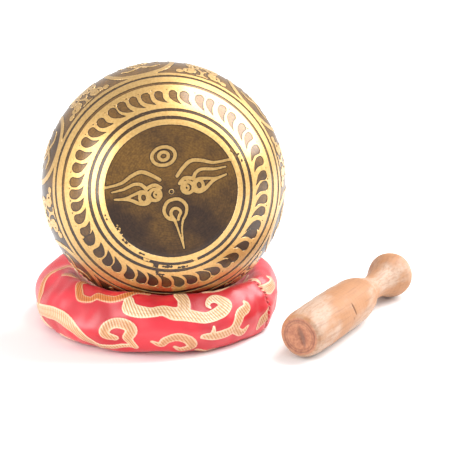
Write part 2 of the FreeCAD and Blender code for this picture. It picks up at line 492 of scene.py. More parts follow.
def goldField(along, angle):
    # signed distance in mm from the nearest edge between gold and dark, positive on the gold,
    # and the distance from the nearest edge that isn't a turned ring
    v = bowl
    radius = np.interp(along, profileS, profileR)
    field = along - alongAt(v["discRing"])
    for low, high in v["grooves"]:
        a, b = alongAt(low), alongAt(high)
        groove = abs(along - 0.5 * (a + b)) - 0.5 * (b - a)
        field = np.where(along > a - 4, np.minimum(field, groove), field)
    disc = along < v["base"] + 1.5
    drawing = np.full(len(along), -1e9)
    drawing[disc] = signField((along * np.cos(angle))[disc], (along * np.sin(angle))[disc])
    leaves = leafField(radius, along, angle)
    wall, wallShapes = wallField(radius, along, angle)
    shapes = np.minimum(np.minimum(abs(drawing), abs(leaves)), abs(wallShapes))
    field = np.minimum(np.minimum(np.maximum(field, drawing), leaves), wall)
    for place, degrees, wide, long, tone in v["chips"]:
        turn = wrapped(angle - math.radians(degrees))
        ragged = (0.25 * np.sin(turn * place * 2.9 + degrees)
                  + 0.2 * np.sin(radius * 4.1 + degrees))
        far = np.hypot((radius - place) / wide, turn * place / long)
        near = far < 3
        chip = (1 - far) * min(wide, long) + ragged * near
        recessShadeAndWear = np.maximum(field, chip) if tone > 0 else np.minimum(field, -chip)
        field = np.where(near, recessShadeAndWear, field)
        shapes = np.where(near, np.minimum(shapes, abs(chip)), shapes)
    lip = 0.22 - abs(along - 1.1)
    return np.maximum(field, np.where(along < 3, lip, -9)), shapes


def joinRows(firstRow, firstCount, secondRow, secondCount):
    # triangles between two rings of points, where the second has as many points or twice or half
    faces = []
    if firstCount == secondCount:
        for j in range(firstCount):
            k = (j + 1) % firstCount
            p, q, r, t = firstRow + j, firstRow + k, secondRow + k, secondRow + j
            faces += [(p, t, r), (p, r, q)] if j % 2 else [(p, t, q), (q, t, r)]
    elif secondCount == 2 * firstCount:
        for j in range(firstCount):
            c, d = firstRow + j, firstRow + (j + 1) % firstCount
            e, f, g = (secondRow + (2 * j + i) % secondCount for i in range(3))
            faces += [(c, e, f), (c, f, d), (d, f, g)]
    else:
        faces = [(c, b, a) for a, b, c in joinRows(secondRow, secondCount, firstRow, firstCount)]
    return faces


def splitEdges(points, faces, edges, newPoints):
    # the faces with these edges cut in two, each at its new point
    marked = {(int(a), int(b)): len(points) + i for i, (a, b) in enumerate(edges)}
    out, whole = [], []
    for face in faces:
        a, b, c = (int(k) for k in face)
        cuts = [marked.get((min(e), max(e))) for e in ((a, b), (b, c), (c, a))]
        count = 3 - cuts.count(None)
        if count == 0:
            whole.append((a, b, c))
        elif count == 3:
            x, y, z = cuts
            out += [(a, x, z), (x, b, y), (z, y, c), (x, y, z)]
        else:
            while cuts[0] is None or (count == 2 and cuts[1] is None):
                a, b, c = b, c, a
                cuts = cuts[1:] + cuts[:1]
            x, y, _ = cuts
            out += [(a, x, c), (x, b, c)] if count == 1 else [(x, b, y), (a, x, y), (a, y, c)]
    return np.concatenate([points, newPoints]), np.array(whole + out, int)


def edgesOf(faces):
    edges = np.sort(np.concatenate([faces[:, [0, 1]], faces[:, [1, 2]], faces[:, [2, 0]]]), 1)
    return np.unique(edges, axis=0)


def between(points, edges, t):
    # points part of the way along edges of the (along, angle) chart, which wraps round
    a, b = points[edges[:, 0]], points[edges[:, 1]]
    return a + np.stack([t * (b[:, 0] - a[:, 0]), t * wrapped(b[:, 1] - a[:, 1])], 1)


def refine(points, faces, reach, longest, upTo):
    # halves the long edges near a drawn outline, as far along as upTo
    _, shapes = goldField(*points.T)
    edges = edgesOf(faces)
    ends = between(points, edges, 1.0)
    radius = np.interp(points[edges[:, 0], 0], profileS, profileR)
    start = points[edges[:, 0]]
    length = np.hypot(ends[:, 0] - start[:, 0], (ends[:, 1] - start[:, 1]) * radius)
    near = np.minimum(shapes[edges[:, 0]], shapes[edges[:, 1]]) < reach
    edges = edges[near & (length > longest) & (start[:, 0] < upTo)]
    return splitEdges(points, faces, edges, between(points, edges, 0.5))


def cutAlong(points, faces, field, level):
    # cuts the faces along a level of the field, so that edges of the mesh follow it
    d = field - level
    d[abs(d) < 1e-4] = 0
    edges = edgesOf(faces)
    edges = edges[d[edges[:, 0]] * d[edges[:, 1]] < 0]
    t = d[edges[:, 0]] / (d[edges[:, 0]] - d[edges[:, 1]])
    points, faces = splitEdges(points, faces, edges, between(points, edges, t))
    return points, faces, np.concatenate([field, np.full(len(edges), level)])


def makeBowl(material):
    # the outside is cut in a flat chart of (distance along it, angle), then wrapped
    v = bowl
    b = v["bevel"] / 2
    end = float(profileS[-1])
    wallStart = alongAt(v["wallStart"])
    grooveAt, half = v["rimGroove"]
    lines = [alongAt(v["discRing"]), wallStart]
    lines += [end - back for back in (v["wallEnd"], grooveAt + half, grooveAt - half)]
    lines += [alongAt(r) for pair in v["grooves"] for r in pair]
    fixed = sorted(e + k for e in lines for k in (-b, b))
    free = np.concatenate([[0.35, 0.7, 1.05, 1.5, 2.2], np.arange(3.2, end - 0.3, v["rowStep"])])
    rows = sorted(fixed + [r for r in free if min(abs(r - f) for f in fixed) > 0.4] + [end])
    around = v["around"]
    counts = [around // 4 if r < 7 else around // 2 if r < 17 else around for r in rows]
    first = np.concatenate([[0], np.cumsum(counts)])[:-1]
    chart = np.concatenate(
        [np.stack([np.full(n, r), np.arange(n) * 2 * math.pi / n], 1) for r, n in zip(rows, counts)]
    )
    faces = []
    for i in range(len(rows) - 1):
        faces += joinRows(first[i], counts[i], first[i + 1], counts[i + 1])
    faces = np.array(faces)
    for reach, longest, upTo in ((0.7, 1.0, end), (0.2, 0.75, wallStart)):
        chart, faces = refine(chart, faces, reach, longest, upTo)
    field, _ = goldField(*chart.T)
    for level in (-b, b):
        chart, faces, field = cutAlong(chart, faces, field, level)
    s, angle = chart.T
    depth, size, lipHeight, lipAt, lipSize = v["punch"]
    sink = v["etchDepth"] * np.clip((b - field) / (2 * b), 0, 1)
    sink += depth * np.exp(-(s / size) ** 2) - lipHeight * np.exp(-((s - lipAt) / lipSize) ** 2)
    uneven = wobble(s, angle) * np.clip((s - 22) / 8, 0, 1) * np.clip((end - s) / 4, 0, 1)
    groups = [bowlPoints(*sunk(s + uneven, sink), angle)]

    # the rim, the inside and the two middle points
    lip = v["rimWall"] / 2
    rimTurn = np.linspace(0, math.pi, 9)[1:]
    inner = np.arange(end - v["rowStepInside"], 2.0, -v["rowStepInside"])
    wallAt = np.interp(inner, [end - 8, end - 3], [v["wall"], v["rimWall"]])
    ring = list(zip(profileR[-1] - lip + lip * np.cos(rimTurn), profileH[-1] - lip * np.sin(rimTurn)))
    ring += list(zip(*sunk(inner, wallAt)))
    lastRow, lastCount, nextRow = first[-1], counts[-1], len(chart)
    allFaces = [tuple(f) for f in faces]
    for r, h in ring:
        n = around if r > 40 else around // 2 if r > 16 else around // 4
        groups.append(bowlPoints(np.full(n, r), np.full(n, h), np.arange(n) * 2 * math.pi / n))
        allFaces += joinRows(lastRow, lastCount, nextRow, n)
        lastRow, lastCount, nextRow = nextRow, n, nextRow + n
    baseCentre, floorCentre = nextRow, nextRow + 1
    centres = [profileH[0] - v["etchDepth"] - depth, profileH[0] - v["wall"]]
    points = np.concatenate(groups + [bowlPoints(np.zeros(2), np.array(centres), np.zeros(2))])
    allFaces += [(baseCentre, j, (j + 1) % counts[0]) for j in range(counts[0])]
    allFaces += [(floorCentre, lastRow + (j + 1) % lastCount, lastRow + j) for j in range(lastCount)]
    gold = np.full(len(points), 2.0)
    gold[:len(field)] = np.clip(field, -2, 2)
    gold[baseCentre] = -2
    inside = np.zeros(len(points))
    inside[len(chart) + len(rimTurn) * around:] = 1
    inside[baseCentre] = 0
    obj = newObject("etchedBowl", points, allFaces, material)
    obj.data.set_sharp_from_angle(angle=math.radians(24))
    vertexValue(obj, "gold", gold)
    vertexValue(obj, "inside", inside)
    print(f"bowl: {len(points)} points, {len(allFaces)} triangles")
    return obj


bronze = {
    "gold": (0.70, 0.45, 0.165, 1),
    "goldDeep": (0.60, 0.36, 0.115, 1),
    # lit and shaded copies of the patina: painted light makes it lighter higher up
    "patinaPaintedLit": (0.185, 0.088, 0.014, 1),
    "patinaPaintedShade": (0.040, 0.017, 0.007, 1),
    "halo": (0.018, 0.009, 0.005, 1),
    "inside": (0.80, 0.53, 0.20, 1),
    "turnPitch": 1.1,  # mm between the turning marks inside
    "paintedLightFrom": 0.045,  # heights in m between which the patina turns from its painted-shade colour to its painted-light colour
    "paintedLightTo": 0.115,
    "goldRoughness": 0.44,
    "patinaRoughness": 0.48,
    "patinaMetal": 0.5,
    "coat": 0.75,
    "coatRoughness": 0.19,
}


def bronzeMaterial():
    v = bronze
    material, tree, shader = newMaterial("etchedBronze")
    at = objectPoint(tree)
    broad = noise(tree, at, 45, 3, 0.6)
    fine = noise(tree, at, 900, 4, 0.65)
    grain = noise(tree, at, 3200, 2, 0.6)
    edge = timesPlus(tree, fine, 0.22, attribute(tree, "gold"))
    isGold = fade(tree, edge, 0.05, 0.17)
    gold = mixColour(tree, fade(tree, fine, 0.36, 0.62), v["goldDeep"], v["gold"])
    # the patina is painted lighter and warmer higher up, as painted light from above, mottled, and
    # darker beside the gold
    height = addNode(tree, "SeparateXYZ", {0: at}).outputs[2]
    paintedLightAndMottle = timesPlus(tree, fade(tree, height, v["paintedLightFrom"], v["paintedLightTo"]), 0.3, broad)
    patina = mixColour(tree, fade(tree, paintedLightAndMottle, 0.45, 0.88), v["patinaPaintedShade"], v["patinaPaintedLit"])
    fromMiddle = vectorNode(tree, "SUBTRACT", at, bowlMiddle)[0]
    sideways = vectorNode(tree, "CROSS_PRODUCT", fromMiddle, baseWay)[0]
    radius = vectorNode(tree, "LENGTH", sideways)["Value"]
    perMetre = 2 * math.pi / (v["turnPitch"] * mm)
    rings = timesPlus(tree, broad, 0.006, radius)
    rings = calculate(tree, "SINE", times(tree, rings, perMetre))
    rings = fade(tree, times(tree, rings, broad), -0.4, 0.5, 0.92, 1.06)
    mottle = times(tree, fade(tree, fine, 0.35, 0.7, 0.72, 1.25), rings)
    grey = addNode(tree, "CombineColor", {0: mottle, 1: mottle, 2: mottle}).outputs[0]
    patina = mixColour(tree, 1.0, patina, grey, "MULTIPLY")
    halo = lineAt(tree, edge, -0.05, 0.12, 0.42)
    patina = partMix(tree, halo, 0.75, patina, v["halo"])
    colour = mixColour(tree, isGold, patina, gold)
    relief = timesPlus(tree, grain, 0.5, fine)
    # turning marks inside
    inside = attribute(tree, "inside")
    depth = vectorNode(tree, "DOT_PRODUCT", at, baseWay)["Value"]
    passes = calculate(tree, "SINE", times(tree, depth, perMetre))
    passes = timesPlus(tree, passes, 0.5, broad)
    turned = mixColour(tree, fade(tree, passes, 0, 1), v["goldDeep"], v["inside"])
    relief = mixFloat(tree, inside, relief, timesPlus(tree, passes, 1.6, fine))
    rough = [v[name] - 0.08 for name in ("patinaRoughness", "goldRoughness")]
    fillInputs(tree, shader, {
        "Base Color": mixColour(tree, inside, colour, turned),
        "Metallic": fade(tree, isGold, 0, 1, v["patinaMetal"], 1.0),
        "Roughness": timesPlus(tree, fine, 0.16, fade(tree, isGold, 0, 1, *rough)),
        "Specular IOR Level": 0.2,
        "Coat Weight": v["coat"],
        "Coat Roughness": v["coatRoughness"],
        "Normal": bump(tree, relief, 0.00006, 0.5),
    })
    return material


cushion = {
    "ring": 46.0,  # mm, and degrees: turns go from -Y towards +X, angles round the tube
    "tube": 16.3,
    "tubeLow": 14.0,
    "foot": 6.3,
    "aboveFloor": 0.03,
    "seat": 64.2,  # the cloth stays this far from the middle of the bowl's sphere
    "clothGrid": (120, 40),
    "startInside": 2.0,
    "voxel": 3.2,
    "heldWidth": 1.7,  # each side of a seam
    "seatWidth": 2.6,
    "pressure": 4.0,
    "spareCloth": 0.05,
    "frames": 20,
    "cap": 3.4,  # the furthest that the cloth is kept from where it started
    "around": 560,
    "across": 150,
    "seamTurn": 65.0,
    "innerSeam": -150.0,
    "chartRadius": 56.0,  # turns are measured in mm on a circle of this radius
    "chartTube": 16.0,
    "relief": 0.3,
    "front": [(-100, -72), (80, 112)],  # turns and angles where the clouds aren't repeats
    "taper": 0.8,  # how fast the repeats thin out inside it
    # places that sink in, or with a minus stand out: turn, angle, their spreads, depth
    "sags": [(98, 72, 34, 46, 2.2), (-92, 66, 34, 46, 1.6), (62, -50, 36, 28, -2.4),
             (-62, -50, 26, 28, -1.3), (20, -50, 20, 20, -0.8)],
    "foldSize": 11.0,
    "foldGain": 1.0,
    "gathers": (0.35, 5.0, 5.5),  # height, and reach from the closing seam and the inner seam
    "seams": ((0.7, 0.9), (0.8, 1.1)),  # depth and half width of each
}

# woven clouds: points (turn, angle), half widths in mm, and how pale the thread is
clouds = [
    ([(-12, 54), (-11, 42), (-6, 36), (0, 35), (5, 38), (10, 32), (15, 30), (20, 24), (26, 19),
      (33, 24), (37, 35), (34, 49), (30, 50), (28, 42), (29, 35)],
     [2.8, 3.6, 3.0, 2.4, 2.7, 3.2, 3.4, 3.0, 2.7, 3.2, 3.1, 2.5, 1.8, 1.2, 0.5], 1.0),
    ([(15, 70), (16, 54), (15, 36)], [3.6, 3.3, 3.2], 0.9),
    ([(-46, 92), (-48, 76), (-44, 60), (-40, 48), (-34, 50), (-31, 60), (-26, 58), (-20, 58),
      (-14, 67), (-9, 78), (-2, 75)], [2.2, 2.0, 2.3, 2.5, 1.9, 2.2, 2.3, 1.9, 2.2, 2.0, 1.2], 0.0),
    ([(-92, -36), (-75, -18), (-57, -1), (-48, 2), (-40, -4), (-35, -16), (-31, -31), (-26, -42),
      (-18, -40), (-9, -33)], [2.8, 3.2, 3.3, 3.3, 3.3, 3.2, 2.9, 2.5, 1.8, 1.2], 0.7),
    ([(-70, -2), (-74, 12), (-78, 30), (-80, 50), (-80, 74), (-88, 100), (-96, 122)],
     [1.4, 1.9, 2.0, 2.0, 2.0, 1.9, 1.4], 0.1),
    ([(-68, 74), (-64, 86), (-56, 92)], [1.8, 2.8, 1.8], 0.0),
    ([(47, 29), (48, 18), (43, 12), (41, 0), (38, -13), (32, -16), (27, -15), (23, -13)],
     [0.8, 2.4, 2.7, 2.8, 3.1, 2.7, 2.4, 1.7], 0.7),
    ([(39, -14), (44, -28), (48, -18)], [2.4, 2.1, 0.8], 0.6),
    ([(27, -13), (28, 2)], [1.7, 0.6], 0.7),
    ([(-17, -14), (-21, -9), (-21, 4), (-17, 14), (-12, 13), (-9, 4), (-11, -14), (-8, -34)],
     [2.0, 2.5, 2.4, 2.5, 2.6, 2.6, 2.5, 1.8], 0.55),
    ([(0, -17), (4, -25), (6, -14), (11, -9), (16, -17), (18, -34), (13, -42), (10, -34)],
     [0.9, 1.8, 2.4, 2.6, 2.7, 2.4, 1.6, 0.8], 0.45),
    ([(21, -50), (26, -56), (31, -56)], [1.4, 1.5, 0.8], 0.45),
    ([(57, -38), (60, -24), (64, -14), (66, 0)], [1.2, 3.0, 3.4, 1.6], 0.5),
    ([(-68, -31), (-61, -43)], [2.0, 1.3], 1.0),
    ([(-52, -51), (-43, -58)], [1.6, 1.0], 0.8),
    ([(28, 69), (37, 67), (46, 68)], [0.6, 0.9, 0.7], 0.5),
]
beyondSeam = [
    ([(70, 46), (69, 58), (64, 68), (58, 67)], [1.3, 2.2, 2.2, 1.2], 1.0),
    ([(60, 56), (64, 38), (73, 24), (82, 26), (80, 40)], [1.8, 2.8, 3.2, 2.4, 0.9], 0.6),
]


def tubeOutline(angle, inset):
    # radius and height of the tube's outline, round the tube from its outermost line
    v = cushion
    a = np.radians(angle)
    c, s = np.cos(a), np.sin(a)
    top = v["tube"] - inset
    below = v["foot"] * np.clip(-s * 12, 0, 1)
    height = np.where(s > 0, top, v["tubeLow"] - inset)
    return v["ring"] + np.sign(c) * below + (top - below) * c, v["tubeLow"] + height * s


def coverPoint(turn, angle, inset):
    # points of the full cover, in mm, with the hollow where the bowl sits
    v = cushion
    t = np.radians(turn)
    r, z = tubeOutline(angle, inset)
    out = np.stack([np.sin(t), -np.cos(t), 0 * t], 1)
    core = out * v["ring"] + np.array([0, 0, v["tubeLow"]])
    way = out * r[:, None] + np.outer(z, [0, 0, 1]) - core
    reach = np.linalg.norm(way, axis=1)
    way /= reach[:, None]
    toCore = core - np.array(bowlMiddle) / mm
    along = (way * toCore).sum(1)
    inside = along**2 - (toCore**2).sum(1) + (v["seat"] + inset) ** 2
    hit = -along - np.sqrt(np.maximum(inside, 0))
    reach = np.where((inside > 0) & (along < 0), np.minimum(reach, hit), reach)
    return core, way, reach


def gridFaces(around, across):
    i, j = np.meshgrid(np.arange(around), np.arange(across), indexing="ij")
    k, m = (i + 1) % around * across, (j + 1) % across
    return np.stack([i * across + j, k + j, k + m, i * across + m], 2).reshape(-1, 4)


def gridAngles(around, across, turn=0.0, angle=0.0):
    turns = np.repeat(turn + np.arange(around) * 360.0 / around, across)
    return turns, np.tile(angle + np.arange(across) * 360.0 / across, around)


def fromSeams(turn, angle, radius):
    # distances in mm from the closing seam and from the inner seam
    v = cushion
    closing = wrapped(turn - v["seamTurn"], 360) * math.pi / 180 * radius
    return closing, wrapped(angle - v["innerSeam"], 360) * math.pi / 180 * v["tube"]


def stuffByCloth():
    # the cover's cloth filled out by a simulation: its seams hold it in and the spare cloth folds
    v = cushion
    core, way, reach = coverPoint(*gridAngles(*v["clothGrid"]), v["startInside"])
    points = (core + way * reach[:, None]) * mm
    obj = newObject("coverStart", points, gridFaces(*v["clothGrid"]))
    remesh = obj.modifiers.new("even", "REMESH")
    remesh.mode = "VOXEL"
    remesh.voxel_size = v["voxel"] * mm
    obj = flatten(obj, "coverCloth")
    start = meshPoints(obj.data)
    turn = np.degrees(np.arctan2(start[:, 0], -start[:, 1]))
    radius = np.hypot(start[:, 0], start[:, 1]) / mm
    angle = np.degrees(np.arctan2(start[:, 2] / mm - v["tubeLow"], radius - v["ring"]))
    closing, inner = fromSeams(turn, angle, radius)
    fromMiddle = np.linalg.norm(start / mm - np.array(bowlMiddle) / mm, axis=1)
    seat = abs(fromMiddle - v["seat"]) < v["seatWidth"]
    seams = np.minimum(abs(closing), abs(inner)) < v["heldWidth"]
    held = seams | (start[:, 2] < 3 * mm)
    group = obj.vertex_groups.new(name="held")
    group.add([int(k) for k in np.flatnonzero(held)], 1.0, "REPLACE")
    group.add([int(k) for k in np.flatnonzero(seat & ~held)], 0.4, "REPLACE")
    cloth = obj.modifiers.new("cloth", "CLOTH")
    values = {
        "quality": 6, "mass": 0.12, "tension_stiffness": 14, "compression_stiffness": 14,
        "shear_stiffness": 5, "bending_stiffness": 0.15, "use_pressure": True,
        "uniform_pressure_force": v["pressure"], "shrink_min": -v["spareCloth"],
        "vertex_group_mass": "held",
    }
    for name, value in values.items():
        setattr(cloth.settings, name, value)
    cloth.settings.effector_weights.gravity = 0
    for number in range(1, v["frames"] + 1):
        bpy.context.scene.frame_set(number)
    depsgraph = bpy.context.evaluated_depsgraph_get()
    moved = meshPoints(obj.evaluated_get(depsgraph).data) - start
    far = np.linalg.norm(moved, axis=1, keepdims=True) / mm
    moved *= v["cap"] * np.tanh(far / v["cap"]) / np.maximum(far, 1e-9)
    obj.modifiers.remove(cloth)
    bpy.context.scene.frame_set(1)
    obj.data.vertices.foreach_set("co", (start + moved).ravel())
    smooth = obj.modifiers.new("smooth", "SUBSURF")
    smooth.levels = smooth.render_levels = 2
    obj = flatten(obj, "coverFilled")
    print(f"cushion: cloth moved {far.mean():.2f} mm on average, {far.max():.2f} mm at most")
    return obj


def meshPoints(mesh):
    points = np.empty(len(mesh.vertices) * 3)
    mesh.vertices.foreach_get("co", points)
    return points.reshape(-1, 3)


def flatten(obj, name):
    # the object with its modifiers applied, as a plain mesh of its own
    evaluated = obj.evaluated_get(bpy.context.evaluated_depsgraph_get())
    mesh = bpy.data.meshes.new_from_object(evaluated)
    made = bpy.data.objects.new(name, mesh)
    bpy.context.collection.objects.link(made)
    bpy.data.objects.remove(obj)
    return made


def cloudField(turn, angle):
    # signed distance in mm, positive inside a woven cloud, and how pale its thread is
    v = cushion
    seam = v["seamTurn"]
    t = (turn - seam) % 360 - 360 + seam  # from just past the seam, all the way round to it
    a = (angle - v["innerSeam"]) % 360 + v["innerSeam"]
    scale = np.array([math.radians(v["chartRadius"]), math.radians(v["chartTube"])])
    p = np.stack([t, a], 1) * scale
    field = np.full(len(p), -9.0)
    pale = np.zeros(len(p))
    low, high = (np.array(corner) * scale for corner in v["front"])
    intoFront = np.maximum(np.minimum(p - low, high - p).min(1), 0)
    repeats = [(clouds, 0, 0), (clouds, -172, -8), (clouds[2:], -60, 148), (clouds[3:], 20, -96),
               (clouds[2:], -232, 140), (clouds[3:], -150, -100), (beyondSeam, -360, 0)]
    for strokes, moveTurn, moveAngle in repeats:
        for points, widths, tone in strokes:
            line = spline((np.array(points, float) + (moveTurn, moveAngle)) * scale, 6)
            low, high = line.min(0) - 7, line.max(0) + 7
            near = ((p > low) & (p < high)).all(1)
            d = strokeField(p[near], line, widths)
            if moveAngle:
                d -= v["taper"] * intoFront[near]
            ahead = d > field[near]
            field[near] = np.where(ahead, d, field[near])
            pale[near] = np.where(ahead, tone, pale[near])
    return field, pale


def blurred(grid, size):
    # the values over the closed cover, evened out over so many mm
    v = cushion
    cell = [2 * math.pi * v["chartRadius"] / v["around"], 2 * math.pi * v["chartTube"] / v["across"]]
    f = [np.fft.fftfreq(n, c) for n, c in zip(grid.shape, cell)]
    keep = np.exp(-2 * (math.pi * size) ** 2 * (f[0][:, None] ** 2 + f[1][None, :] ** 2))
    return np.fft.ifft2(np.fft.fft2(grid) * keep).real


def foldsOf(filled, core, way, reach):
    # how far the simulated cloth stands out, without its broad change of shape
    v = cushion
    tree = BVHTree.FromObject(filled, bpy.context.evaluated_depsgraph_get())
    hits = []
    for start, toward, full in zip(core * mm, way, reach):
        distance = tree.ray_cast(Vector(start), Vector(toward), 0.04)[3]
        hits.append(full if distance is None else distance / mm)
    folds = (np.array(hits) - reach).reshape(v["around"], v["across"])
    folds = blurred(folds, 1.0) - blurred(folds, v["foldSize"])
    return v["foldGain"] * folds.ravel()


def makeCushion(material):
    v = cushion
    shape = around, across = v["around"], v["across"]
    turn, angle = gridAngles(around, across, v["seamTurn"], v["innerSeam"])
    core, way, reach = coverPoint(turn, angle, 0)
    filled = stuffByCloth()
    reach = reach + foldsOf(filled, core, way, reach)
    bpy.data.objects.remove(filled)
    reach = blurred(reach.reshape(shape), 0.8).ravel()
    t, a = np.radians(turn), np.radians(angle)
    lumps = (0.45 * np.sin(3 * t + 1.1) * np.sin(a + 0.4) + 0.35 * np.sin(7 * t + 2 * a)
             + 0.22 * np.sin(11 * t - 3 * a + 1) + 0.12 * np.sin(23 * t + 2 * a))
    closing, inner = fromSeams(turn, angle, tubeOutline(angle, 0)[0])
    high, closingReach, innerReach = v["gathers"]
    pucker = np.cos(a * 360 / 26 + 0.5 * np.sin(3 * a)) * np.exp(-abs(closing) / closingReach)
    gather = np.cos(t * stitches["inner"]["count"]) * np.exp(-abs(inner) / innerReach)
    groove = sum(depth * np.exp(-(away / half) ** 2)
                 for away, (depth, half) in zip((closing, inner), v["seams"]))
    for sagTurn, sagAngle, turnSpread, angleSpread, depth in v["sags"]:
        dt = wrapped(turn - sagTurn, 360) / turnSpread
        da = wrapped(angle - sagAngle, 360) / angleSpread
        groove = groove + depth * np.exp(-(dt**2 + da**2))
    field, pale = cloudField(turn, angle)
    relief = v["relief"] * np.clip(field / 0.5, 0, 1) - 0.12 * np.exp(-((field - 2.1) / 0.35) ** 2)
    reach = reach + lumps + high * pucker + high * gather - groove + relief
    points = core + way * reach[:, None]
    away = points - np.array(bowlMiddle) / mm
    distance = np.linalg.norm(away, axis=1)
    points += away * (np.maximum(v["seat"] - distance, 0) / distance)[:, None]
    points[:, 2] = np.maximum(points[:, 2], v["aboveFloor"])
    faces = gridFaces(around, across)
    obj = newObject("brocadeCover", points * mm, faces, material)
    vertexValue(obj, "cloud", np.clip(field, -4, 6))
    vertexValue(obj, "pale", pale)
    # the weave's own flat map, 100 mm to a unit
    i, j = (k.ravel() for k in np.indices(shape))
    corners = np.stack([np.stack([i + k, j + m], 1) for k, m in ((0, 0), (1, 0), (1, 1), (0, 1))], 1)
    size = 2 * math.pi * np.array([v["chartRadius"], v["chartTube"]]) / shape / 100
    weave = obj.data.uv_layers.new(name="weave")
    weave.data.foreach_set("uv", (corners.reshape(-1, 2) * size).astype(np.float32).ravel())
    print(f"cushion: {len(points)} points, {2 * len(faces)} triangles")
    return obj


silk = {
    "red": (0.68, 0.012, 0.030, 1),
    "redDeep": (0.49, 0.004, 0.016, 1),
    "cream": (0.80, 0.61, 0.41, 1),
    "goldThread": (0.66, 0.37, 0.135, 1),
    "orangeThread": (0.50, 0.12, 0.012, 1),
    "orangeLight": (0.62, 0.18, 0.024, 1),
    "brownThread": (0.36, 0.11, 0.03, 1),
    "roughness": 0.36,
    "sheen": 0.24,
    "sheenTint": (1.0, 0.60, 0.56, 1),
    "ribPitch": 1.3,  # mm
    "ribTurn": 28.0,
}


def brocadeMaterial():
    v = silk
    material, tree, shader = newMaterial("redBrocade")
    at = objectPoint(tree)
    pale = attribute(tree, "pale")
    ragged = timesPlus(tree, noise(tree, at, 1500, 2), 0.3, attribute(tree, "cloud"))
    isCloud = fade(tree, ragged, 0.10, 0.24)
    # slanted ribs of thread, and a fine twill in the red
    weave = addNode(tree, "UVMap", {}, uv_map="weave").outputs[0]
    turn = (0, 0, -math.radians(v["ribTurn"]))
    slanted = addNode(tree, "Mapping", {"Vector": weave, "Rotation": turn}).outputs[0]
    scale = 10 * math.pi / v["ribPitch"]  # the weave map is 100 mm to a unit
    values = {"Vector": slanted, "Scale": scale, "Distortion": 0.6, "Detail": 1.0, "Detail Scale": 2.0}
    ribs = addNode(tree, "TexWave", values).outputs["Fac"]
    values = {"Vector": slanted, "Scale": 3 * scale, "Distortion": 0.3}
    twill = addNode(tree, "TexWave", values).outputs["Fac"]
    low = mixColour(tree, pale, v["orangeThread"], v["goldThread"])
    high = mixColour(tree, pale, v["orangeLight"], v["cream"])
    thread = mixColour(tree, fade(tree, ribs, 0.25, 0.75), low, high)
    thread = partMix(tree, fade(tree, ribs, 0.0, 0.25, 1, 0), 0.2, thread, v["brownThread"])
    thread = partMix(tree, lineAt(tree, ragged, 2.1, 0.2, 0.42), 0.3, thread, v["brownThread"])
    outline = lineAt(tree, ragged, 0.55, 0.28, 0.48)
    thread = partMix(tree, outline, fade(tree, pale, 0, 1, 0.4, 0.9), thread, v["cream"])
    red = mixColour(tree, fade(tree, noise(tree, at, 60, 2), 0.3, 0.7), v["redDeep"], v["red"])
    height = mixFloat(tree, isCloud, times(tree, twill, 0.12), ribs)
    fillInputs(tree, shader, {
        "Base Color": mixColour(tree, isCloud, red, thread),
        "Roughness": v["roughness"],
        "Sheen Weight": v["sheen"],
        "Sheen Roughness": 0.4,
        "Sheen Tint": v["sheenTint"],
        "Specular IOR Level": 0.8,
        "Normal": bump(tree, height, 0.00025, 0.7),
    })
    return material


stitches = {
    "closing": {"count": 15, "start": 62.0, "end": -62.0, "length": 3.4, "lean": 28.0},
    "inner": {"count": 30, "length": 4.6, "lean": 90.0},
    "threadRadius": 0.35,
    "arch": 0.55,
    "dark": (0.40, 0.02, 0.02, 1),
    "red": (0.72, 0.07, 0.05, 1),
}


def stitchTree(material):
    # one arched stitch of thread on each point, turned to the point's run and out attributes
    tree = bpy.data.node_groups.new("sewnStitches", "GeometryNodeTree")
    face = tree.interface
    face.new_socket("Geometry", in_out="INPUT", socket_type="NodeSocketGeometry")
    for name in ("stitchLength", "threadRadius", "arch"):
        face.new_socket(name, in_out="INPUT", socket_type="NodeSocketFloat")
    face.new_socket("Geometry", in_out="OUTPUT", socket_type="NodeSocketGeometry")
    places, length, radius, arch = tree.nodes.new("NodeGroupInput").outputs[:4]
    end = tree.nodes.new("NodeGroupOutput")

    def node(kind, inputs, **settings):
        return addNode(tree, kind, inputs, **settings).outputs[0]

    half = times(tree, length, 0.5)
    dip = times(tree, radius, -1.3)
    line = node("GeometryNodeCurveQuadraticBezier", {
        "Resolution": 10,
        "Start": node("CombineXYZ", {"X": times(tree, half, -1.0), "Z": dip}),
        "Middle": node("CombineXYZ", {"Z": arch}),
        "End": node("CombineXYZ", {"X": half, "Z": dip}),
    })
    circle = node("GeometryNodeCurvePrimitiveCircle", {"Resolution": 10, "Radius": radius})
    inputs = {"Curve": line, "Profile Curve": circle, "Fill Caps": True}
    thread = node("GeometryNodeCurveToMesh", inputs)
    run, out = (node("GeometryNodeInputNamedAttribute", {"Name": name}, data_type="FLOAT_VECTOR")
                for name in ("run", "out"))
    align = "FunctionNodeAlignRotationToVector"
    turned = node(align, {"Vector": run}, axis="X")
    turned = node(align, {"Rotation": turned, "Vector": out}, axis="Z", pivot_axis="X")
    inputs = {"Points": places, "Instance": thread, "Rotation": turned}
    placed = node("GeometryNodeInstanceOnPoints", inputs)
    real = node("GeometryNodeRealizeInstances", {"Geometry": placed})
    made = node("GeometryNodeSetMaterial", {"Geometry": real, "Material": material})
    tree.links.new(made, end.inputs[0])
    return tree


